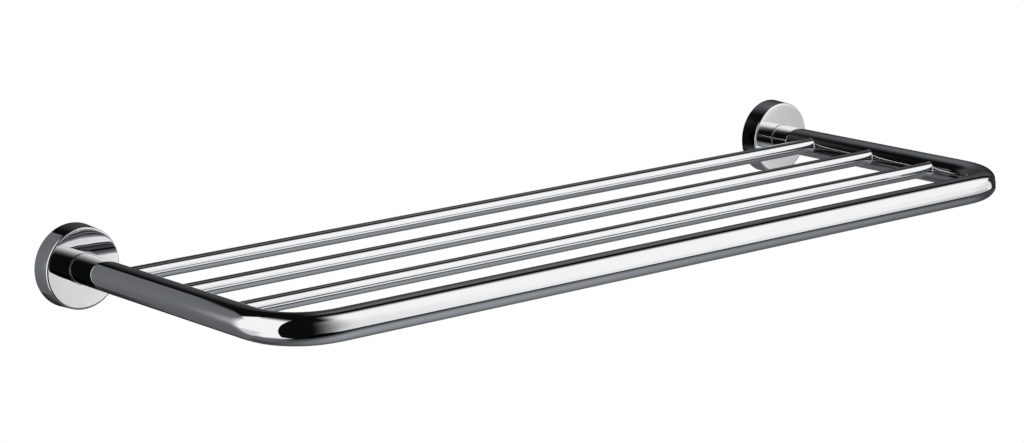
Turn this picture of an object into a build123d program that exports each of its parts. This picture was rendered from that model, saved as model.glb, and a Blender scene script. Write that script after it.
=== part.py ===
from build123d import *
import os

# A wall-mounted chromed towel rack. One tube, bent twice, makes both arms and the front rail.
# Three thinner bars are brazed into holes in the arms. Each end of the tube is bolted into a
# round rosette, which slips over a wall plate and is locked by a grub screw from below.
# Millimetres. +X runs to the right, +Y into the wall and +Z up. The origin is on the wall,
# midway between the rosettes, at the height of the tube's axis.

# Frame tube
CENTRE_DISTANCE = 600.0
REACH = 231.0
TUBE_DIAMETER = 19.5
TUBE_WALL = 1.0
BEND_RADIUS = 35.0

# Cross bars
BAR_NAMES = ("rear_bar", "middle_bar", "front_bar")
BAR_DIAMETER = 10.0
BAR_WALL = 0.8
REAR_BAR_DISTANCE = 53.0
BAR_PITCH = 58.0
BAR_RISE = 1.25
BAR_END_SETBACK = 5.0

# Rosette, a cup with a thick face, a little narrower at the front than at the wall
ROSETTE_DIAMETER = 53.5
ROSETTE_FRONT_DIAMETER = 52.0
ROSETTE_DEPTH = 14.2
ROSETTE_WALL = 2.5
ROSETTE_FACE = 3.5
ROSETTE_EDGE_RADIUS = 1.2
TUBE_SEAT_DEPTH = 1.2
TUBE_SEAT_CHAMFER = 0.5
BOSS_WIDTH = 10.0
BOSS_SETBACK = 0.6

# Wall plate, a turned disc with a V-groove round its rim
PLATE_DIAMETER = 39.0
PLATE_THICKNESS = 6.5
PLATE_CENTRE_HOLE = 15.0
PLATE_EDGE_CHAMFER = 0.4
GROOVE_DEPTH = 1.5
GROOVE_DISTANCE = 3.8
SLOT_LENGTH = 9.0
SLOT_WIDTH = 5.2
SLOT_SPACING = 26.8
SLOT_COUNTERSINK = 2.1

# Fasteners: an M6 low head tie screw with its split washer, and an M5 cone point grub screw
TIE_SCREW_DIAMETER = 6.0
TIE_SCREW_LENGTH = 16.0
TIE_HEAD_DIAMETER = 10.0
TIE_HEAD_HEIGHT = 4.0
TIE_SOCKET = 4.0
TIE_SOCKET_DEPTH = 2.3
WASHER_DIAMETER = 11.8
WASHER_HOLE = 6.2
WASHER_THICKNESS = 1.6
WASHER_SPLIT = 0.8
WASHER_SPLIT_SLANT = 1.0
PLUG_LENGTH = 14.0
PLUG_CHAMFER = 0.5
GRUB_DIAMETER = 5.0
GRUB_LENGTH = 8.0
GRUB_DISTANCE = 4.0
GRUB_SOCKET = 2.5
GRUB_SOCKET_DEPTH = 2.6
END_CHAMFER = 0.4

# Clearances on the radius
BRAZE_GAP = 0.05
THREAD_GAP = 0.05
SCREW_GAP = 0.2
BOSS_GAP = 0.7

# Worked out from the values above
ARM_X = CENTRE_DISTANCE / 2
TUBE_RADIUS = TUBE_DIAMETER / 2
TUBE_BORE_RADIUS = TUBE_RADIUS - TUBE_WALL
TUBE_END = ROSETTE_DEPTH - TUBE_SEAT_DEPTH
BAR_RADIUS = BAR_DIAMETER / 2
BAR_LENGTH = CENTRE_DISTANCE - 2 * BAR_END_SETBACK
BAR_DISTANCES = [REAR_BAR_DISTANCE + index * BAR_PITCH for index in range(len(BAR_NAMES))]
ROSETTE_RADIUS = ROSETTE_DIAMETER / 2
ROSETTE_FRONT_RADIUS = ROSETTE_FRONT_DIAMETER / 2
CUP_RADIUS = ROSETTE_RADIUS - ROSETTE_WALL
CUP_DEPTH = ROSETTE_DEPTH - ROSETTE_FACE
PLATE_RADIUS = PLATE_DIAMETER / 2
TIE_RADIUS = TIE_SCREW_DIAMETER / 2
TIE_HEAD_SEAT = CUP_DEPTH - WASHER_THICKNESS
TIE_HEAD_TOP = TIE_HEAD_SEAT - TIE_HEAD_HEIGHT
GRUB_RADIUS = GRUB_DIAMETER / 2
GRUB_TIP_HEIGHT = PLATE_RADIUS - GROOVE_DEPTH + abs(GRUB_DISTANCE - GROOVE_DISTANCE) + THREAD_GAP


def save(builder, name):
    """Label a finished piece and write it to its own file."""
    builder.part.label = name
    export_step(builder.part, f"parts/{name}.step")


def facing_wall_plane(x):
    """A plane on the wall at an arm: its own Z is the distance from the wall, its Y is up."""
    return Plane(origin=(x, 0, 0), x_dir=(1, 0, 0), z_dir=(0, -1, 0))


def turning_plane(x):
    """A level plane through an arm's axis: its own X is a radius, its Y the distance from the wall."""
    return Plane(origin=(x, 0, 0), x_dir=(1, 0, 0), z_dir=(0, 0, -1))


def turning_axis(x):
    """The axis of an arm, pointing away from the wall."""
    return Axis((x, 0, 0), (0, -1, 0))


def build_frame_tube():
    """The tube swept along its two arms and front rail, with the bars' holes in the inner walls."""
    corners = [
        (-ARM_X, -TUBE_END),
        (-ARM_X, -REACH),
        (ARM_X, -REACH),
        (ARM_X, -TUBE_END),
    ]
    with BuildPart() as frame_tube:
        with BuildLine(Plane.XY) as centre_line:
            FilletPolyline(*corners, radius=BEND_RADIUS)
        with BuildSketch(Plane(origin=centre_line.line @ 0, z_dir=centre_line.line % 0)):
            Circle(TUBE_RADIUS)
            Circle(TUBE_BORE_RADIUS, mode=Mode.SUBTRACT)
        sweep(path=centre_line.line)
        for side in (-1, 1):
            for distance in BAR_DISTANCES:
                hole_centre = (side * ARM_X, -distance, BAR_RISE)
                with BuildSketch(Plane(origin=hole_centre, z_dir=(-side, 0, 0))):
                    Circle(BAR_RADIUS + BRAZE_GAP)
                extrude(amount=TUBE_DIAMETER, mode=Mode.SUBTRACT)
    return frame_tube


def build_bar(distance):
    """A straight tube whose ends reach through the arms' inner walls."""
    bar_start = (-BAR_LENGTH / 2, -distance, BAR_RISE)
    with BuildPart() as bar:
        with BuildSketch(Plane(origin=bar_start, z_dir=(1, 0, 0))):
            Circle(BAR_RADIUS)
            Circle(BAR_RADIUS - BAR_WALL, mode=Mode.SUBTRACT)
        extrude(amount=BAR_LENGTH)
    return bar


def build_rosette(x):
    """A turned cup with a seat for the tube's end, and a boss below for the grub screw."""
    boss_top = PLATE_RADIUS + BOSS_GAP
    boss_bottom = CUP_RADIUS + ROSETTE_WALL / 4
    seat_radius = TUBE_RADIUS + BRAZE_GAP
    screw_hole_radius = TIE_RADIUS + SCREW_GAP
    front_edge = (ROSETTE_FRONT_RADIUS, ROSETTE_DEPTH)
    seat_edge = (seat_radius, ROSETTE_DEPTH)
    profile = [
        (screw_hole_radius, CUP_DEPTH),
        (CUP_RADIUS, CUP_DEPTH),
        (CUP_RADIUS, 0),
        (ROSETTE_RADIUS, 0),
        front_edge,
        seat_edge,
        (seat_radius, TUBE_END),
        (screw_hole_radius, TUBE_END),
    ]
    grub_plane = Plane(origin=(x, -GRUB_DISTANCE, -ROSETTE_RADIUS), z_dir=(0, 0, -1))
    with BuildPart() as rosette:
        with BuildSketch(turning_plane(x)) as cup_profile:
            with BuildLine():
                Polyline(*profile, close=True)
            make_face()
            front_corner = cup_profile.vertices().sort_by_distance(front_edge)[0]
            fillet(front_corner, radius=ROSETTE_EDGE_RADIUS)
            seat_corner = cup_profile.vertices().sort_by_distance(seat_edge)[0]
            chamfer(seat_corner, length=TUBE_SEAT_CHAMFER)
        revolve(axis=turning_axis(x))
        with BuildSketch(facing_wall_plane(x).offset(BOSS_SETBACK)):
            with Locations((0, -(boss_top + boss_bottom) / 2)):
                Rectangle(BOSS_WIDTH, boss_bottom - boss_top)
        extrude(amount=CUP_DEPTH - BOSS_SETBACK)
        with Locations(grub_plane):
            Hole(GRUB_RADIUS + THREAD_GAP, depth=ROSETTE_RADIUS - boss_top + BOSS_GAP)
    return rosette


def build_wall_plate(x):
    """A turned disc with a V-groove round its rim and two countersunk slots for wall screws."""
    centre_radius = PLATE_CENTRE_HOLE / 2
    profile = [
        (centre_radius, 0),
        (PLATE_RADIUS, 0),
        (PLATE_RADIUS, GROOVE_DISTANCE - GROOVE_DEPTH),
        (PLATE_RADIUS - GROOVE_DEPTH, GROOVE_DISTANCE),
        (PLATE_RADIUS, GROOVE_DISTANCE + GROOVE_DEPTH),
        (PLATE_RADIUS, PLATE_THICKNESS),
        (centre_radius, PLATE_THICKNESS),
    ]
    countersink_plane = facing_wall_plane(x).offset(PLATE_THICKNESS)
    slot_centres = [(0, -SLOT_SPACING / 2), (0, SLOT_SPACING / 2)]
    with BuildPart() as wall_plate:
        with BuildSketch(turning_plane(x)):
            with BuildLine():
                Polyline(*profile, close=True)
            make_face()
        revolve(axis=turning_axis(x))
        front_circles = wall_plate.edges().filter_by(GeomType.CIRCLE).group_by(Axis.Y)[0]
        chamfer(front_circles.sort_by(SortBy.RADIUS)[-1], length=PLATE_EDGE_CHAMFER)
        with BuildSketch(facing_wall_plane(x)):
            with Locations(*slot_centres):
                SlotOverall(SLOT_LENGTH, SLOT_WIDTH)
        extrude(amount=PLATE_THICKNESS, mode=Mode.SUBTRACT)
        with BuildSketch(countersink_plane):
            with Locations(*slot_centres):
                SlotOverall(SLOT_LENGTH + 2 * SLOT_COUNTERSINK, SLOT_WIDTH + 2 * SLOT_COUNTERSINK)
        extrude(amount=-SLOT_COUNTERSINK, taper=45, mode=Mode.SUBTRACT)
    return wall_plate


def build_tube_plug(x):
    """The tapped bush brazed into the tube's end."""
    with BuildPart() as tube_plug:
        with BuildSketch(facing_wall_plane(x).offset(TUBE_END)):
            Circle(TUBE_BORE_RADIUS - BRAZE_GAP)
        extrude(amount=PLUG_LENGTH)
        chamfer(tube_plug.edges().filter_by(GeomType.CIRCLE), length=PLUG_CHAMFER)
        with Locations(facing_wall_plane(x).offset(TUBE_END + PLUG_LENGTH)):
            Hole(TIE_RADIUS + THREAD_GAP, depth=PLUG_LENGTH)
    return tube_plug


def build_tie_screw(x):
    """A low cap head screw that goes from inside the cup, through its face, into the plug."""
    shank_end = TIE_HEAD_SEAT + TIE_SCREW_LENGTH
    head_radius = TIE_HEAD_DIAMETER / 2
    profile = [
        (0, TIE_HEAD_TOP),
        (head_radius - END_CHAMFER, TIE_HEAD_TOP),
        (head_radius, TIE_HEAD_TOP + END_CHAMFER),
        (head_radius, TIE_HEAD_SEAT),
        (TIE_RADIUS, TIE_HEAD_SEAT),
        (TIE_RADIUS, shank_end - END_CHAMFER),
        (TIE_RADIUS - END_CHAMFER, shank_end),
        (0, shank_end),
    ]
    with BuildPart() as tie_screw:
        with BuildSketch(turning_plane(x)):
            with BuildLine():
                Polyline(*profile, close=True)
            make_face()
        revolve(axis=turning_axis(x))
        with BuildSketch(facing_wall_plane(x).offset(TIE_HEAD_TOP)):
            RegularPolygon(TIE_SOCKET / 2, side_count=6, major_radius=False)
        extrude(amount=TIE_SOCKET_DEPTH, mode=Mode.SUBTRACT)
    return tie_screw


def build_lock_washer(x):
    """A flat ring with one slanted split at the top."""
    half_split = WASHER_SPLIT / 2
    half_slant = WASHER_SPLIT_SLANT / 2
    half_height = WASHER_THICKNESS
    split_corners = [
        (-half_split - half_slant, -half_height),
        (half_split - half_slant, -half_height),
        (half_split + half_slant, half_height),
        (-half_split + half_slant, half_height),
    ]
    washer_middle = TIE_HEAD_SEAT + WASHER_THICKNESS / 2
    split_plane = Plane(origin=(x, -washer_middle, 0), x_dir=(1, 0, 0), z_dir=(0, 0, 1))
    with BuildPart() as lock_washer:
        with BuildSketch(facing_wall_plane(x).offset(TIE_HEAD_SEAT)):
            Circle(WASHER_DIAMETER / 2)
            Circle(WASHER_HOLE / 2, mode=Mode.SUBTRACT)
        extrude(amount=WASHER_THICKNESS)
        with BuildSketch(split_plane):
            with BuildLine():
                Polyline(*split_corners, close=True)
            make_face()
        extrude(amount=WASHER_DIAMETER, mode=Mode.SUBTRACT)
    return lock_washer


def build_grub_screw(x):
    """A cone point set screw standing upright, its tip in the wall plate's groove."""
    socket_end = GRUB_TIP_HEIGHT + GRUB_LENGTH
    profile = [
        (0, -GRUB_TIP_HEIGHT),
        (GRUB_RADIUS, -GRUB_TIP_HEIGHT - GRUB_RADIUS),
        (GRUB_RADIUS, -socket_end + END_CHAMFER),
        (GRUB_RADIUS - END_CHAMFER, -socket_end),
        (0, -socket_end),
    ]
    upright_plane = Plane(origin=(x, -GRUB_DISTANCE, 0), x_dir=(1, 0, 0), z_dir=(0, -1, 0))
    socket_plane = Plane(origin=(x, -GRUB_DISTANCE, -socket_end), x_dir=(1, 0, 0), z_dir=(0, 0, 1))
    with BuildPart() as grub_screw:
        with BuildSketch(upright_plane):
            with BuildLine():
                Polyline(*profile, close=True)
            make_face()
        revolve(axis=Axis((x, -GRUB_DISTANCE, 0), (0, 0, 1)))
        with BuildSketch(socket_plane):
            RegularPolygon(GRUB_SOCKET / 2, side_count=6, major_radius=False)
        extrude(amount=GRUB_SOCKET_DEPTH, mode=Mode.SUBTRACT)
    return grub_screw


SIDE_PIECES = {
    "rosette": build_rosette,
    "wall_plate": build_wall_plate,
    "tube_plug": build_tube_plug,
    "tie_screw": build_tie_screw,
    "lock_washer": build_lock_washer,
    "grub_screw": build_grub_screw,
}

os.makedirs("parts", exist_ok=True)
save(build_frame_tube(), "frame_tube")
for bar_name, bar_distance in zip(BAR_NAMES, BAR_DISTANCES):
    save(build_bar(bar_distance), bar_name)
for side_name, side_x in (("left", -ARM_X), ("right", ARM_X)):
    for piece_name, build_piece in SIDE_PIECES.items():
        save(build_piece(side_x), f"{side_name}_{piece_name}")
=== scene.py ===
import functools
import math

import bpy
import numpy as np
from mathutils import Matrix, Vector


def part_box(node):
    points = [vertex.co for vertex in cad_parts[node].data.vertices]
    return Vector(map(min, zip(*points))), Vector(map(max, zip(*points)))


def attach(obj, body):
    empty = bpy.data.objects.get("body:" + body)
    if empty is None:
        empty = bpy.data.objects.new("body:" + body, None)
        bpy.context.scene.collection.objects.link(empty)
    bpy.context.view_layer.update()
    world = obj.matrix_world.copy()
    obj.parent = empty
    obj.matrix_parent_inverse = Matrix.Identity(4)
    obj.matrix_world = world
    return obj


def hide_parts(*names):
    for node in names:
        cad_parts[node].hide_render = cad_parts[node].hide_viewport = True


# A chromed towel rack: a bent frame tube, three cross bars and two rosettes, with the fixings
# behind them. Metres. +X runs to the right, +Y into the wall and +Z up.

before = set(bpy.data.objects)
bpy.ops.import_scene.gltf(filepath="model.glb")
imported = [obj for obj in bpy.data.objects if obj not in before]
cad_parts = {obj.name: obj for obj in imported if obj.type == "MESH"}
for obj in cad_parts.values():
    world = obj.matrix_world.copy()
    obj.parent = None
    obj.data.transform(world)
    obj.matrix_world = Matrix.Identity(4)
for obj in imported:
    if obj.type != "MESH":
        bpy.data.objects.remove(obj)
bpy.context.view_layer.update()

# Sizes that the frame doesn't hold
BEND_RADIUS = 0.035
BEND_EASE = 0.3
TUBE_WALL = 0.001
BAR_WALL = 0.0008
ROSETTE_FRONT_RADIUS = 0.026
ROSETTE_WALL = 0.0025
ROSETTE_FACE = 0.0035
ROSETTE_EDGE_RADIUS = 0.0012
ROSETTE_RIM_CHAMFER = 0.0003
TUBE_SEAT_DEPTH = 0.0012
SEAT_EDGE_RADIUS = 0.0005
SCREW_HOLE_RADIUS = 0.0032
SEAT_GAP = 0.0002
FACE_CROWN = 0.0002
FACE_FLAT_RADIUS = 0.012
BEAD_RADIUS = 0.0007
BEAD_SINK = 0.0004
GRUB_HOLE_RADIUS = 0.00255
GRUB_DISTANCE = 0.004
GRUB_HOLE_TOP = 0.0195
BOSS_WIDTH = 0.010
BOSS_SETBACK = 0.0006
BOSS_TOP = 0.0202
BOSS_ROOT_SHARE = 0.25

# Sizes read from the frame
tube_low, tube_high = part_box("frame_tube")
TUBE_RADIUS = tube_high.z
ARM_X = tube_high.x - TUBE_RADIUS
RAIL_Y = tube_low.y + TUBE_RADIUS
TUBE_END_Y = tube_high.y
BAR_NAMES = ("rear_bar", "middle_bar", "front_bar")
SIDES = (("left", -1), ("right", 1))

# Camera, from the photograph's viewing angle
IMAGE_WIDTH = 1024
CAMERA_PLACE = (-1.2249, -1.56081, 0.43076)
CAMERA_AZIMUTH = math.radians(-39.308)
CAMERA_ELEVATION = math.radians(12.798)
CAMERA_ROLL = math.radians(-0.839)
FOCAL_PIXELS = 2977.0
SENSOR_WIDTH = 36.0

# Colours and light of the studio: the cards' greys are a little cool
CARD_TINT = (0.957, 1.0, 1.047, 1)
WHITE = (1, 1, 1, 1)
PAPER = (0.9, 0.9, 0.9, 1)
BLACK_LEVEL = 0.004

# Share of a card's width or height over which a hard edge fades
HARD_EDGE = 0.01

# The pool of light on the floor board, and two level directions across it
POOL_LEVEL = 0.34
POOL_CENTRE = (0.3, -0.5)
TO_FRONT_LEFT = (-0.62, -0.78)
TO_BACK_LEFT = (-0.78, 0.62)

# Floor, low enough to leave views from below clear
FLOOR_HEIGHT = -6.0
FLOOR_REACH = 15.0

# Mesh fineness
ROUND_STEPS = 128
BEND_STEPS = 72
STRAIGHT_STEPS = 12
ARC_STEPS = 10
CROWN_STEPS = 16
PIN_STEPS = 48

# Edges sharper than this many degrees stay creased
SHARP_ANGLE = 40
BEAD_SHARP_ANGLE = 80
ROSETTE_SHARP_ANGLE = 30

# A mix node has sockets for each kind of data: these are the ones for colours
MIX_FACTOR = 0
MIX_FIRST = 6
MIX_SECOND = 7
MIX_RESULT = 2

# Clouds of handling: noise settings, and the part of the noise that shows
HANDLING_DETAIL = 4.0
HANDLING_ROUGHNESS = 0.6
HANDLING_RANGE = (0.35, 0.75)


# Meshes


def new_piece(name, vertices, faces, sharp_angle=SHARP_ANGLE):
    """A mesh object at the origin, smooth but for edges sharper than the angle in degrees."""
    mesh = bpy.data.meshes.new(name)
    mesh.from_pydata(vertices.tolist(), [], faces)
    shade_smooth(mesh, sharp_angle)
    mesh.update()
    piece = bpy.data.objects.new(name, mesh)
    bpy.context.scene.collection.objects.link(piece)
    return piece


def shade_smooth(mesh, sharp_angle):
    """Smooth faces, with a crease wherever two of them meet at more than the angle in degrees."""
    mesh.polygons.foreach_set("use_smooth", np.ones(len(mesh.polygons), bool))
    mesh.set_sharp_from_angle(angle=math.radians(sharp_angle))


def closed_grid_faces(rows, columns):
    """Quads of a grid whose last row joins its first and whose last column joins its first."""
    row, column = np.meshgrid(np.arange(rows), np.arange(columns), indexing="ij")
    next_row = (row + 1) % rows
    next_column = (column + 1) % columns
    corners = [
        row * columns + column,
        row * columns + next_column,
        next_row * columns + next_column,
        next_row * columns + column,
    ]
    return np.stack(corners, axis=-1).reshape(-1, 4)


def facing_out(vertices, faces):
    """The faces of a closed mesh as lists, all turned round if the volume inside them is negative."""
    corner = vertices[faces]
    normal = np.cross(corner[:, 1] - corner[:, 0], corner[:, 2] - corner[:, 0])
    from_middle = corner.mean(axis=1) - vertices.mean(axis=0)
    volume = np.sum(normal * from_middle)
    turned_faces = faces if volume > 0 else faces[:, ::-1]
    return turned_faces.tolist()


def hollow_sweep(path, side_axes, radius, bore_radius):
    """A pipe along a level path: each ring is centre + r (cos v side + sin v up).

    The rings run out along the path with the outer radius and back with the bore's radius, so
    the surface is one closed grid."""
    stations = np.concatenate([path, path[::-1]])
    sides = np.concatenate([side_axes, side_axes[::-1]])
    radii = np.repeat([radius, bore_radius], len(path))[:, None, None]
    angle = np.linspace(0, 2 * math.pi, ROUND_STEPS, endpoint=False)[None, :, None]
    upright = np.array([0.0, 0.0, 1.0])
    around = np.cos(angle) * sides[:, None, :] + np.sin(angle) * upright
    vertices = (stations[:, None, :] + radii * around).reshape(-1, 3)
    return vertices, facing_out(vertices, closed_grid_faces(len(stations), ROUND_STEPS))


def running_sum(values, step):
    """The area under evenly spaced values up to each of them, by the trapezium rule."""
    areas = (values[1:] + values[:-1]) * step / 2
    return np.concatenate([[0.0], np.cumsum(areas)])


def eased_bend():
    """A quarter turn from +X to +Y that bends in and out gently, as a drawn tube does.

    The curvature climbs over a share of the length, stays level and falls again. The heading is
    its running sum, and the place is the running sum of the heading's cosine and sine. The turn
    is scaled so that its middle is as far from the corner as a plain arc's middle."""
    share = np.linspace(0, 1, BEND_STEPS)
    step = share[1]
    curvature = np.minimum(1, np.minimum(share, 1 - share) / BEND_EASE)
    heading = running_sum(curvature, step)
    heading = heading * math.pi / 2 / heading[-1]
    x = running_sum(np.cos(heading), step)
    y = running_sum(np.sin(heading), step)
    corner_x = x[-1]
    diagonal = (corner_x - x + y) / math.sqrt(2)
    scale = BEND_RADIUS * (math.sqrt(2) - 1) / diagonal.min()
    return x * scale, y * scale, heading


def frame_path():
    """Centre line of the frame tube: arm, eased quarter turn, rail, eased quarter turn, arm.

    The right half is made and the left half is its mirror image. The side axis points out of
    the U all along."""
    turn_x, turn_y, heading = eased_bend()
    bend_x = ARM_X - turn_x[-1]
    bend_y = RAIL_Y + turn_y[-1]
    rail_x = np.linspace(0, bend_x, STRAIGHT_STEPS)[:-1]
    arm_y = np.linspace(bend_y, TUBE_END_Y, STRAIGHT_STEPS)[1:]
    half_x = np.concatenate([rail_x, bend_x + turn_x, np.full(len(arm_y), ARM_X)])
    half_y = np.concatenate([np.full(len(rail_x), RAIL_Y), RAIL_Y + turn_y, arm_y])
    arm_heading = np.full(len(arm_y), math.pi / 2)
    half_heading = np.concatenate([np.zeros(len(rail_x)), heading, arm_heading])
    level = np.zeros(len(half_x))
    half_path = np.stack([half_x, half_y, level], axis=-1)
    half_sides = np.stack([np.sin(half_heading), -np.cos(half_heading), level], axis=-1)
    mirror = np.array([-1.0, 1.0, 1.0])
    path = np.concatenate([(half_path * mirror)[:0:-1], half_path])
    sides = np.concatenate([(half_sides * mirror)[:0:-1], half_sides])
    return path, sides


def rounded_profile(corners):
    """An outline from (radius, distance, rounding) corners.

    A corner with a rounding becomes an arc that touches both its edges: the arc's centre lies on
    the corner's bisector, at rounding / sin(half the corner's angle)."""
    points = np.array([corner[:2] for corner in corners])
    outline = []
    for index, corner in enumerate(points):
        rounding = corners[index][2]
        if rounding == 0:
            outline.append(corner[None, :])
            continue
        back = points[index - 1] - corner
        ahead = points[(index + 1) % len(points)] - corner
        back = back / np.linalg.norm(back)
        ahead = ahead / np.linalg.norm(ahead)
        half_angle = math.acos(float(np.clip(back @ ahead, -1, 1))) / 2
        bisector = (back + ahead) / np.linalg.norm(back + ahead)
        centre = corner + bisector * rounding / math.sin(half_angle)
        start = corner + back * rounding / math.tan(half_angle) - centre
        end = corner + ahead * rounding / math.tan(half_angle) - centre
        opening = math.pi - 2 * half_angle
        share = np.linspace(0, 1, ARC_STEPS + 1)[:, None]
        arc = np.sin((1 - share) * opening) * start + np.sin(share * opening) * end
        outline.append(centre + arc / math.sin(opening))
    return np.concatenate(outline)


def turned(outline, x):
    """A closed outline of (radius, distance from the wall) turned about an arm's axis.

    A vertex is (x + r cos v, -distance, r sin v)."""
    angle = np.linspace(0, 2 * math.pi, ROUND_STEPS, endpoint=False)
    radius = outline[:, 0][:, None]
    distance = np.broadcast_to(outline[:, 1][:, None], (len(outline), ROUND_STEPS))
    vertices = np.stack([x + radius * np.cos(angle), -distance, radius * np.sin(angle)], axis=-1)
    vertices = vertices.reshape(-1, 3)
    return vertices, facing_out(vertices, closed_grid_faces(len(outline), ROUND_STEPS))


def upright_prism(ring_x, ring_y, low_z, high_z):
    """A closed prism over a level outline that runs anticlockwise: walls and two flat caps."""
    steps = len(ring_x)
    low = np.stack([ring_x, ring_y, np.full(steps, low_z)], axis=-1)
    high = np.stack([ring_x, ring_y, np.full(steps, high_z)], axis=-1)
    index = np.arange(steps)
    following = (index + 1) % steps
    walls = np.stack([index, following, following + steps, index + steps], axis=-1).tolist()
    caps = [index[::-1].tolist(), (index + steps).tolist()]
    return np.concatenate([low, high]), walls + caps


def cut(piece, operation, vertices, faces):
    """Join or subtract a closed mesh, and keep the result as the piece's own mesh."""
    tool = new_piece("tool", vertices, faces)
    step = piece.modifiers.new("cut", "BOOLEAN")
    step.operation = operation
    step.object = tool
    step.solver = "EXACT"
    graph = bpy.context.evaluated_depsgraph_get()
    shaped = bpy.data.meshes.new_from_object(piece.evaluated_get(graph))
    piece.modifiers.clear()
    piece.data = shaped
    bpy.data.objects.remove(tool)


# Pieces


def finish_piece(piece, material, slot, *nodes):
    """Paint a piece, put it on the rack's one body and let it stand for its CAD nodes."""
    piece.data.materials.append(material)
    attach(piece, "root")
    if nodes:
        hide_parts(*nodes)


def make_frame_tube(chrome):
    """The bent tube, hollow from end to end."""
    path, sides = frame_path()
    vertices, faces = hollow_sweep(path, sides, TUBE_RADIUS, TUBE_RADIUS - TUBE_WALL)
    piece = new_piece("chromed_frame_tube", vertices, faces)
    finish_piece(piece, chrome, "chrome", "frame_tube")


def make_bar(node, chrome):
    """A straight hollow bar between the arms."""
    low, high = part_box(node)
    middle = (low + high) / 2
    radius = (high.z - low.z) / 2
    path = np.tile(np.array(middle), (STRAIGHT_STEPS, 1))
    path[:, 0] = np.linspace(low.x, high.x, STRAIGHT_STEPS)
    side_axes = np.tile([0.0, -1.0, 0.0], (STRAIGHT_STEPS, 1))
    piece = new_piece(f"chromed_{node}", *hollow_sweep(path, side_axes, radius, radius - BAR_WALL))
    finish_piece(piece, chrome, "chrome", node)


def make_braze_bead(name, side, node, chrome):
    """The fillet of braze between a bar and an arm.

    A ball of the bead's radius rolls in the corner: its centre is one ball outside both
    cylinders. The skin is the arc between its two touching points, and a third point under the
    surfaces closes the ring."""
    low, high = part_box(node)
    middle = (low + high) / 2
    bar_radius = (high.z - low.z) / 2
    angle = np.linspace(0, 2 * math.pi, ROUND_STEPS, endpoint=False)
    ring = np.stack([np.zeros(ROUND_STEPS), np.cos(angle), np.sin(angle)], axis=-1)
    ball_z = middle.z + (bar_radius + BEAD_RADIUS) * np.sin(angle)
    ball_x = np.sqrt((TUBE_RADIUS + BEAD_RADIUS) ** 2 - ball_z ** 2)
    ball_y = (bar_radius + BEAD_RADIUS) * np.cos(angle)
    ball = np.stack([ball_x, ball_y, ball_z], axis=-1)
    to_bar = -ring
    from_arm_axis = np.stack([ball_x, np.zeros(ROUND_STEPS), ball_z], axis=-1)
    to_arm = -from_arm_axis / (TUBE_RADIUS + BEAD_RADIUS)
    opening = np.arccos(np.sum(to_bar * to_arm, axis=-1))[:, None]
    share = np.linspace(0, 1, ARC_STEPS)[:, None, None]
    arc = np.sin((1 - share) * opening) * to_bar + np.sin(share * opening) * to_arm
    skin = ball + BEAD_RADIUS * (arc / np.sin(opening))
    root_z = middle.z + (bar_radius - BEAD_SINK) * np.sin(angle)
    root_x = np.sqrt((TUBE_RADIUS - BEAD_SINK) ** 2 - root_z ** 2)
    root = np.stack([root_x, (bar_radius - BEAD_SINK) * np.cos(angle), root_z], axis=-1)
    vertices = np.concatenate([skin, root[None]]).reshape(-1, 3)
    vertices = vertices * np.array([-side, 1, 1]) + np.array([side * ARM_X, middle.y, 0])
    faces = facing_out(vertices, closed_grid_faces(ARC_STEPS + 1, ROUND_STEPS))
    piece = new_piece(name, vertices, faces, sharp_angle=BEAD_SHARP_ANGLE)
    finish_piece(piece, chrome, "chrome")


def make_rosette(name, node, chrome):
    """The turned cup with its tube seat, and the boss inside it that the grub screw goes through.

    Polishing has crowned the face: it falls off as the cube of the way from its flat to its rim.
    The rim's rounding takes the place of the crown's second point."""
    low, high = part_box(node)
    x = (low.x + high.x) / 2
    radius = (high.x - low.x) / 2
    depth = -low.y
    cup_radius = radius - ROSETTE_WALL
    cup_depth = depth - ROSETTE_FACE
    seat_radius = TUBE_RADIUS + SEAT_GAP
    seat_floor = depth - TUBE_SEAT_DEPTH
    crown_share = np.linspace(1, 0, CROWN_STEPS)
    crown_radius = FACE_FLAT_RADIUS + (ROSETTE_FRONT_RADIUS - FACE_FLAT_RADIUS) * crown_share
    crown_distance = depth - FACE_CROWN * crown_share ** 3
    crown = [(r, distance, 0) for r, distance in zip(crown_radius, crown_distance)]
    edge = (*crown[0][:2], ROSETTE_EDGE_RADIUS)
    corners = [
        (SCREW_HOLE_RADIUS, cup_depth, 0),
        (cup_radius, cup_depth, 0),
        (cup_radius, 0, 0),
        (radius - ROSETTE_RIM_CHAMFER, 0, 0),
        (radius, ROSETTE_RIM_CHAMFER, 0),
        edge,
        *crown[2:],
        (seat_radius, depth, SEAT_EDGE_RADIUS),
        (seat_radius, seat_floor, 0),
        (SCREW_HOLE_RADIUS, seat_floor, 0),
    ]
    piece = new_piece(name, *turned(rounded_profile(corners), x))
    boss_bottom = cup_radius + BOSS_ROOT_SHARE * ROSETTE_WALL
    boss_back = -BOSS_SETBACK
    boss_front = -(cup_depth + BOSS_ROOT_SHARE * ROSETTE_FACE)
    boss_x = x + BOSS_WIDTH / 2 * np.array([-1, 1, 1, -1])
    boss_y = np.array([boss_front, boss_front, boss_back, boss_back])
    boss = upright_prism(boss_x, boss_y, -boss_bottom, -BOSS_TOP)
    cut(piece, "UNION", *boss)
    angle = np.linspace(0, 2 * math.pi, PIN_STEPS, endpoint=False)
    hole_x = x + GRUB_HOLE_RADIUS * np.cos(angle)
    hole_y = -GRUB_DISTANCE + GRUB_HOLE_RADIUS * np.sin(angle)
    hole = upright_prism(hole_x, hole_y, -radius - ROSETTE_WALL, -GRUB_HOLE_TOP)
    cut(piece, "DIFFERENCE", *hole)
    shade_smooth(piece.data, ROSETTE_SHARP_ANGLE)
    finish_piece(piece, chrome, "chrome", node)


# Node helpers


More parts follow.
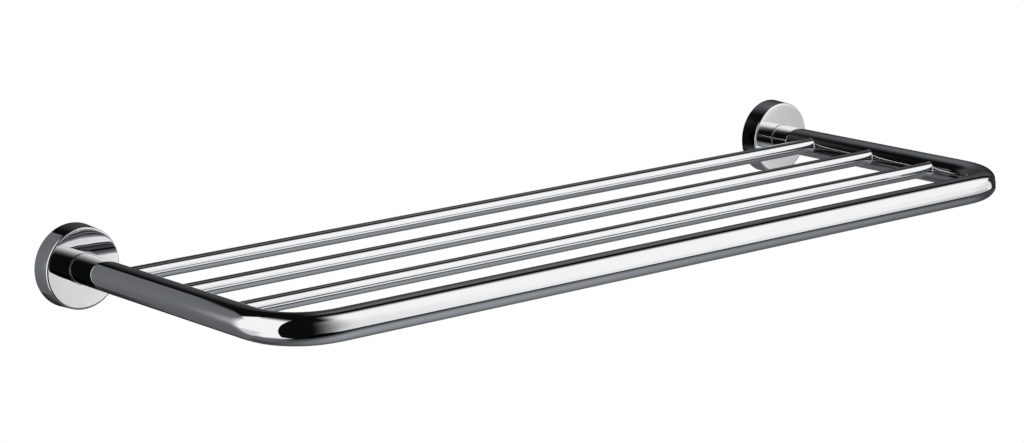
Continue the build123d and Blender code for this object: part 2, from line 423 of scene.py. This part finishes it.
def add_node(tree, kind, links=(), **settings):
    """A node with its settings, and its inputs each linked to a socket or set to a value."""
    node = tree.nodes.new(kind)
    for setting, value in settings.items():
        setattr(node, setting, value)
    for socket, value in links:
        if isinstance(value, bpy.types.NodeSocket):
            tree.links.new(value, node.inputs[socket])
        else:
            node.inputs[socket].default_value = value
    return node


def add_math(tree, operation, first, second=0.0):
    """A math node of two values, each a socket or a number. Returns its output socket."""
    node = add_node(tree, "ShaderNodeMath", ((0, first), (1, second)), operation=operation)
    return node.outputs["Value"]


def add_ramp(tree, value, start, end, low, high):
    """A smooth step of a value, from low at start to high at end."""
    links = (
        ("Value", value),
        ("From Min", start),
        ("From Max", end),
        ("To Min", low),
        ("To Max", high),
    )
    ramp = add_node(tree, "ShaderNodeMapRange", links, interpolation_type="SMOOTHSTEP")
    return ramp.outputs["Result"]


def product(tree, *values):
    """The product of two or more values, each a socket or a number."""
    return functools.reduce(functools.partial(add_math, tree, "MULTIPLY"), values)


def split_axes(tree, vector):
    """The three parts of a vector."""
    return tuple(add_node(tree, "ShaderNodeSeparateXYZ", (("Vector", vector),)).outputs)


# Materials

SURFACE_SIZES = ("Handling Size", "Wave Size", "Ring Pitch")


def make_metal_surface():
    """The node group of marks that the metals share, each from 0 to 1 over the surface.

    Handling is cloudy noise of several sizes, Waves is slow noise for a surface that isn't quite
    true, and Rings is the sine of the distance from the nearer arm's axis, as a lathe tool
    leaves it."""
    group = bpy.data.node_groups.new("metal_surface", "ShaderNodeTree")
    for socket_name in SURFACE_SIZES:
        group.interface.new_socket(socket_name, in_out="INPUT", socket_type="NodeSocketFloat")
    for socket_name in ("Handling", "Waves", "Rings"):
        group.interface.new_socket(socket_name, in_out="OUTPUT", socket_type="NodeSocketFloat")
    sizes = add_node(group, "NodeGroupInput").outputs
    marks = add_node(group, "NodeGroupOutput").inputs
    place = add_node(group, "ShaderNodeTexCoord").outputs["Object"]
    handling_scale = add_math(group, "DIVIDE", 1.0, sizes["Handling Size"])
    handling_links = (
        ("Vector", place),
        ("Scale", handling_scale),
        ("Detail", HANDLING_DETAIL),
        ("Roughness", HANDLING_ROUGHNESS),
    )
    handling = add_node(group, "ShaderNodeTexNoise", handling_links).outputs["Fac"]
    group.links.new(add_ramp(group, handling, *HANDLING_RANGE, 0, 1), marks["Handling"])
    wave_scale = add_math(group, "DIVIDE", 1.0, sizes["Wave Size"])
    wave_links = (("Vector", place), ("Scale", wave_scale), ("Detail", 0.0))
    group.links.new(add_node(group, "ShaderNodeTexNoise", wave_links).outputs["Fac"], marks["Waves"])
    x, _, z = split_axes(group, place)
    from_arm = add_math(group, "SUBTRACT", add_math(group, "ABSOLUTE", x), ARM_X)
    across = product(group, from_arm, from_arm)
    upwards = product(group, z, z)
    radius = add_math(group, "SQRT", add_math(group, "ADD", across, upwards))
    turns = add_math(group, "DIVIDE", radius, sizes["Ring Pitch"])
    ring = add_math(group, "SINE", add_math(group, "MULTIPLY", turns, 2 * math.pi))
    group.links.new(add_ramp(group, ring, -1, 1, 0, 1), marks["Rings"])
    return group


def make_metal(name, colours, roughness, metallic, relief, sizes):
    """A metal: colour and roughness go from clean to handled, and one of the marks is its relief.

    Relief is a mark's name and its depth. Sizes are the handling's, the waves' and the rings'. A
    metal with a dull skin is less than fully metallic."""
    material = bpy.data.materials.new(name)
    material.use_nodes = True
    tree = material.node_tree
    shader = tree.nodes["Principled BSDF"].inputs
    shader["Metallic"].default_value = metallic
    size_links = zip(SURFACE_SIZES, sizes)
    marks = add_node(tree, "ShaderNodeGroup", size_links, node_tree=METAL_SURFACE).outputs
    clean, handled = colours
    tint_links = (
        (MIX_FACTOR, marks["Handling"]),
        (MIX_FIRST, (*clean, 1)),
        (MIX_SECOND, (*handled, 1)),
    )
    tint = add_node(tree, "ShaderNodeMix", tint_links, data_type="RGBA")
    tree.links.new(tint.outputs[MIX_RESULT], shader["Base Color"])
    tree.links.new(add_ramp(tree, marks["Handling"], 0, 1, *roughness), shader["Roughness"])
    mark, depth = relief
    bump = add_node(tree, "ShaderNodeBump", (("Height", marks[mark]), ("Distance", depth)))
    tree.links.new(bump.outputs["Normal"], shader["Normal"])
    return material


METAL_SURFACE = make_metal_surface()
CHROME_COLOURS = ((0.893, 0.902, 0.912), (0.87, 0.88, 0.892))
CHROME_ROUGHNESS = (0.02, 0.045)
tube_chrome = make_metal(
    "tube_chrome", CHROME_COLOURS, CHROME_ROUGHNESS, metallic=1.0,
    relief=("Waves", 0.00001), sizes=(0.03, 0.05, 0.001),
)
rosette_chrome = make_metal(
    "rosette_chrome", CHROME_COLOURS, CHROME_ROUGHNESS, metallic=1.0,
    relief=("Waves", 0.00003), sizes=(0.02, 0.009, 0.001),
)
zinc = make_metal(
    "zinc_plate", ((0.62, 0.64, 0.66), (0.46, 0.47, 0.49)), (0.34, 0.5), metallic=0.5,
    relief=("Rings", 0.00003), sizes=(0.006, 0.05, 0.0006),
)
brass = make_metal(
    "brass_plug", ((0.72, 0.53, 0.25), (0.55, 0.39, 0.17)), (0.28, 0.45), metallic=0.7,
    relief=("Rings", 0.00002), sizes=(0.005, 0.05, 0.0005),
)
steel = make_metal(
    "steel_screw", ((0.58, 0.58, 0.58), (0.43, 0.43, 0.44)), (0.25, 0.42), metallic=0.7,
    relief=("Handling", 0.00001), sizes=(0.002, 0.05, 0.0005),
)

make_frame_tube(tube_chrome)
for bar_name in BAR_NAMES:
    make_bar(bar_name, tube_chrome)
    for side_name, side in SIDES:
        make_braze_bead(f"{side_name}_{bar_name}_braze", side, bar_name, tube_chrome)
FIXING_METALS = {
    "wall_plate": zinc,
    "tube_plug": brass,
    "tie_screw": steel,
    "lock_washer": steel,
    "grub_screw": steel,
}
for side_name, side in SIDES:
    make_rosette(f"chromed_{side_name}_rosette", f"{side_name}_rosette", rosette_chrome)
    for fixing, metal in FIXING_METALS.items():
        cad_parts[f"{side_name}_{fixing}"].material_slots[0].material = metal


# Studio


def make_camera():
    """The camera at its place, turned by azimuth, elevation and roll."""
    side_axis = np.array([math.cos(CAMERA_AZIMUTH), math.sin(CAMERA_AZIMUTH), 0])
    back = np.array([
        math.sin(CAMERA_AZIMUTH) * math.cos(CAMERA_ELEVATION),
        -math.cos(CAMERA_AZIMUTH) * math.cos(CAMERA_ELEVATION),
        math.sin(CAMERA_ELEVATION),
    ])
    level_up = np.cross(back, side_axis)
    right = math.cos(CAMERA_ROLL) * side_axis + math.sin(CAMERA_ROLL) * level_up
    up = -math.sin(CAMERA_ROLL) * side_axis + math.cos(CAMERA_ROLL) * level_up
    turn = Matrix(np.stack([right, up, back], axis=-1).tolist()).to_4x4()
    camera = bpy.data.cameras.new("camera")
    camera.sensor_width = SENSOR_WIDTH
    camera.lens = FOCAL_PIXELS * SENSOR_WIDTH / IMAGE_WIDTH
    holder = bpy.data.objects.new("camera", camera)
    holder.matrix_world = Matrix.Translation(CAMERA_PLACE) @ turn
    bpy.context.scene.collection.objects.link(holder)
    bpy.context.scene.camera = holder


def make_world():
    """A plain white world, the same for every ray."""
    world = bpy.data.worlds.new("studio")
    world.use_nodes = True
    background = world.node_tree.nodes["Background"]
    background.inputs["Color"].default_value = WHITE
    background.inputs["Strength"].default_value = 1.0
    bpy.context.scene.world = world


def make_sheet(name, centre, across, along):
    """A flat stage sheet: centre + s across + t along, for s and t from -1 to 1, with a UV map."""
    centre, across, along = (np.array(value, float) for value in (centre, across, along))
    corners = np.array([(-1, -1), (1, -1), (1, 1), (-1, 1)], float)
    vertices = centre + corners[:, :1] * across + corners[:, 1:] * along
    mesh = bpy.data.meshes.new(name)
    mesh.from_pydata(vertices.tolist(), [], [(0, 1, 2, 3)])
    uv_layer = mesh.uv_layers.new(name="sheet")
    uv_layer.data.foreach_set("uv", ((corners + 1) / 2).ravel())
    sheet = bpy.data.objects.new(name, mesh)
    bpy.context.scene.collection.objects.link(sheet)
    return sheet


def mixed_output(tree, factor, first, second):
    """The material's surface: the first shader where the factor is 0, the second where it is 1."""
    mix = add_node(tree, "ShaderNodeMixShader", ((0, factor), (1, first), (2, second)))
    add_node(tree, "ShaderNodeOutputMaterial", (("Surface", mix.outputs["Shader"]),))


def make_floor():
    """The pale floor far below the rack, pure white to camera, glossy and transmission rays."""
    floor = make_sheet("floor", (0, 0, FLOOR_HEIGHT), (FLOOR_REACH, 0, 0), (0, FLOOR_REACH, 0))
    material = bpy.data.materials.new("pale_floor")
    material.use_nodes = True
    tree = material.node_tree
    tree.nodes.clear()
    ray = add_node(tree, "ShaderNodeLightPath").outputs
    mirrored = add_math(tree, "MAXIMUM", ray["Is Glossy Ray"], ray["Is Transmission Ray"])
    seen = add_math(tree, "MAXIMUM", ray["Is Camera Ray"], mirrored)
    paper = add_node(tree, "ShaderNodeBsdfDiffuse", (("Color", PAPER),))
    white = add_node(tree, "ShaderNodeEmission")
    mixed_output(tree, seen, paper.outputs["BSDF"], white.outputs["Emission"])
    floor.data.materials.append(material)


def make_card(name, centre, across, along, level, fades, tint=CARD_TINT):
    """A studio card that only reflections see: centre + s across + t along, for s and t from -1 to 1.

    It fades out over a share of its size at its left, right, bottom and top edge. Its level is a
    number, or a function of the node tree and the place on the card in metres."""
    # The card glows though it is no lamp. Its level is painted light and shade: a lit grey board, a dark
    # flag or a bright patch that only the chrome's reflections show.
    card = make_sheet(name, centre, across, along)
    card.visible_camera = False
    card.visible_diffuse = False
    card.visible_shadow = False
    material = bpy.data.materials.new(name)
    material.use_nodes = True
    tree = material.node_tree
    tree.nodes.clear()
    uv_map = add_node(tree, "ShaderNodeUVMap", uv_map="sheet")
    across_card, along_card, _ = split_axes(tree, uv_map.outputs["UV"])
    left, right, bottom, top = fades
    masks = [
        add_ramp(tree, across_card, 0, left, 0, 1),
        add_ramp(tree, across_card, 1, 1 - right, 0, 1),
        add_ramp(tree, along_card, 0, bottom, 0, 1),
        add_ramp(tree, along_card, 1, 1 - top, 0, 1),
    ]
    mask = product(tree, *masks)
    place = add_node(tree, "ShaderNodeTexCoord").outputs["Object"]
    strength = level(tree, split_axes(tree, place)) if callable(level) else level
    glow = add_node(tree, "ShaderNodeEmission", (("Color", tint), ("Strength", strength)))
    clear = add_node(tree, "ShaderNodeBsdfTransparent")
    mixed_output(tree, mask, clear.outputs["BSDF"], glow.outputs["Emission"])
    card.data.materials.append(material)


def distance_along(tree, from_x, from_y, direction):
    """How far a place lies along a level direction: the sum of the two parts' products."""
    direction_x, direction_y = direction
    return add_math(tree, "ADD", product(tree, from_x, direction_x), product(tree, from_y, direction_y))


def floor_light(tree, place):
    """The board's light: a broad pool that falls off to the front, to the right and to three corners."""
    x, y, _ = place
    centre_x, centre_y = POOL_CENTRE
    from_x = add_math(tree, "SUBTRACT", x, centre_x)
    from_y = add_math(tree, "SUBTRACT", y, centre_y)
    to_front_left = distance_along(tree, from_x, from_y, TO_FRONT_LEFT)
    to_back_left = distance_along(tree, from_x, from_y, TO_BACK_LEFT)
    # Painted light: a pool of painted light on the board, with a painted shadow where it falls to the
    # front left.
    falls = [
        add_ramp(tree, to_front_left, start=0.1, end=0.7, low=1, high=0.01),
        add_ramp(tree, to_front_left, start=0.15, end=-0.9, low=1, high=0.34),
        add_ramp(tree, to_back_left, start=0.1, end=0.95, low=1, high=0.2),
        add_ramp(tree, x, start=0.85, end=1.25, low=1, high=0.5),
        add_ramp(tree, y, start=-0.5, end=-1.2, low=1, high=0.15),
    ]
    return product(tree, POOL_LEVEL, *falls)


def dimmed(tree, light, share, *masks):
    """A light, less a share of it where all the masks are 1."""
    return product(tree, light, add_math(tree, "SUBTRACT", 1.0, product(tree, share, *masks)))


def left_card_light(tree, place):
    """The left card's light: brighter higher up and to the left, dark at its right below its top."""
    x, _, z = place
    by_height = add_ramp(tree, z, start=-0.4, end=0.05, low=0.128, high=0.155)
    by_width = add_ramp(tree, x, start=-0.72, end=-0.5, low=1.06, high=0.95)
    right_side = add_ramp(tree, x, start=-0.39, end=-0.36, low=0, high=1)
    below_top = add_ramp(tree, z, start=0.32, end=0.26, low=0, high=1)
    return dimmed(tree, product(tree, by_height, by_width), 1.0, right_side, below_top)


def low_card_light(tree, place):
    """The low card's light: dim along its top, and farther down in a dip left of the rack's middle."""
    x, _, z = place
    dip_x = -0.06
    dip_share = 0.75
    by_height = add_ramp(tree, z, start=-0.4, end=-0.33, low=0.115, high=0.03)
    from_dip = add_math(tree, "ABSOLUTE", add_math(tree, "SUBTRACT", x, dip_x))
    in_dip = add_ramp(tree, from_dip, start=0.12, end=0.06, low=0, high=1)
    above_dip = add_ramp(tree, z, start=-0.56, end=-0.5, low=0, high=1)
    return dimmed(tree, by_height, dip_share, in_dip, above_dip)


def right_card_light(tree, place):
    """The right card's light: brighter higher up, and half of that farther to the right."""
    x, _, z = place
    by_height = add_ramp(tree, z, start=0.05, end=0.7, low=0.03, high=0.14)
    by_width = add_ramp(tree, x, start=0.85, end=1.35, low=1, high=0.5)
    return product(tree, by_height, by_width)


def skirt_light(tree, place):
    """The front skirt's light: brightest a quarter of the way along, and dimmer to both sides."""
    x, _, _ = place
    from_left = add_ramp(tree, x, start=0.45, end=0.85, low=0.7, high=0.89)
    to_right = add_ramp(tree, x, start=1.3, end=1.9, low=1, high=0.62)
    return product(tree, from_left, to_right)


def make_studio():
    """The white room's cards, glowing sheets of painted light and shade: grey boards below, black and
    grey cards behind, above and beside.
    """
    make_card(
        "floor_board", centre=(1.071, -0.296, -0.645), across=(1.892, 0.472, 0), along=(-0.255, 1.023, 0),
        level=floor_light, fades=(0.064, HARD_EDGE, HARD_EDGE, 0.025),
    )
    make_card(
        "floor_left_board", centre=(-0.715, 0.125, -0.643), across=(0.335, 0, 0), along=(0, 0.575, 0),
        level=0.13, fades=(0.5, 0.33, 0.26, 0.03),
    )
    make_card(
        "floor_left_haze", centre=(-1.9, 0.8, -0.647), across=(1.3, 0, 0), along=(0, 0.8, 0),
        level=0.66, fades=(0.7, HARD_EDGE, 0.25, HARD_EDGE), tint=WHITE,
    )
    make_card(
        "camera_side_flag", centre=(-0.589, -1.387, 3.45), across=(1.9, -0.489, 0), along=(0, 0, 5.55),
        level=BLACK_LEVEL, fades=(0.03, 0.53, 0.025, HARD_EDGE),
    )
    make_card(
        "left_grey_card", centre=(-0.6065, 0.43, -0.525), across=(0.2935, 0, 0), along=(0, 0, 0.975),
        level=left_card_light, fades=(0.34, HARD_EDGE, HARD_EDGE, 0.02),
    )
    make_card(
        "low_grey_card", centre=(0.25, 0.429, -0.87), across=(0.65, 0, 0), along=(0, 0, 0.63),
        level=low_card_light, fades=(HARD_EDGE, 0.1, HARD_EDGE, 0.063),
    )
    make_card(
        "middle_black_card", centre=(-0.06, 0.435, 3.15), across=(0.68, 0, 0), along=(0, 0, 3.85),
        level=BLACK_LEVEL, fades=(0.08, 0.4, HARD_EDGE, HARD_EDGE),
    )
    make_card(
        "middle_low_card", centre=(0.18, 0.432, 0.24), across=(0.44, 0, 0), along=(0, 0, 0.28),
        level=0.06, fades=(0.34, 0.44, 0.12, 0.4),
    )
    make_card(
        "right_grey_card", centre=(2.85, 0.44, 1.4455), across=(3.15, 0, 0), along=(0, 0, 1.5545),
        level=right_card_light, fades=(HARD_EDGE, HARD_EDGE, HARD_EDGE, HARD_EDGE),
    )
    make_card(
        "overhead_flag", centre=(1.5, -0.067, 1.0), across=(1.9, 0.233, 0), along=(-0.0396, 0.3226, 0),
        level=BLACK_LEVEL, fades=(0.025, HARD_EDGE, 0.554, 0.05),
    )
    make_card(
        "overhead_left_flag", centre=(-0.3, -0.455, 1.001), across=(0.65, 0, 0), along=(0, 0.895, 0),
        level=BLACK_LEVEL, fades=(0.345, 0.4, 0.31, 0.02),
    )
    make_card(
        "right_side_card", centre=(2.5, -0.025, 0.025), across=(0, 0.525, 0), along=(0, 0, 0.875),
        level=0.03, fades=(0.05, HARD_EDGE, 0.05, 0.05),
    )
    make_card(
        "right_dim_card", centre=(2.6, -1.65, 0.45), across=(0, 1.25, 0), along=(0, 0, 0.75),
        level=0.8, fades=(0.4, HARD_EDGE, 0.1, 0.5), tint=WHITE,
    )
    make_card(
        "front_skirt", centre=(2.0, -1.5, -0.775), across=(2.0, 0, 0), along=(0, 0, 0.725),
        level=skirt_light, fades=(0.15, HARD_EDGE, HARD_EDGE, 0.2), tint=WHITE,
    )
    make_card(
        "far_low_card", centre=(0.15, 1.6, -1.25), across=(0.85, 0, 0), along=(0, 0, 1.25),
        level=0.1, fades=(HARD_EDGE, 0.05, HARD_EDGE, 0.025),
    )
    make_card(
        "far_card", centre=(1.4, 1.7, 1.35), across=(2.1, 0, 0), along=(0, 0, 1.65),
        level=0.05, fades=(HARD_EDGE, 0.05, HARD_EDGE, 0.025),
    )


make_floor()
make_studio()
make_camera()
make_world()
bpy.context.scene.view_settings.view_transform = "Standard"
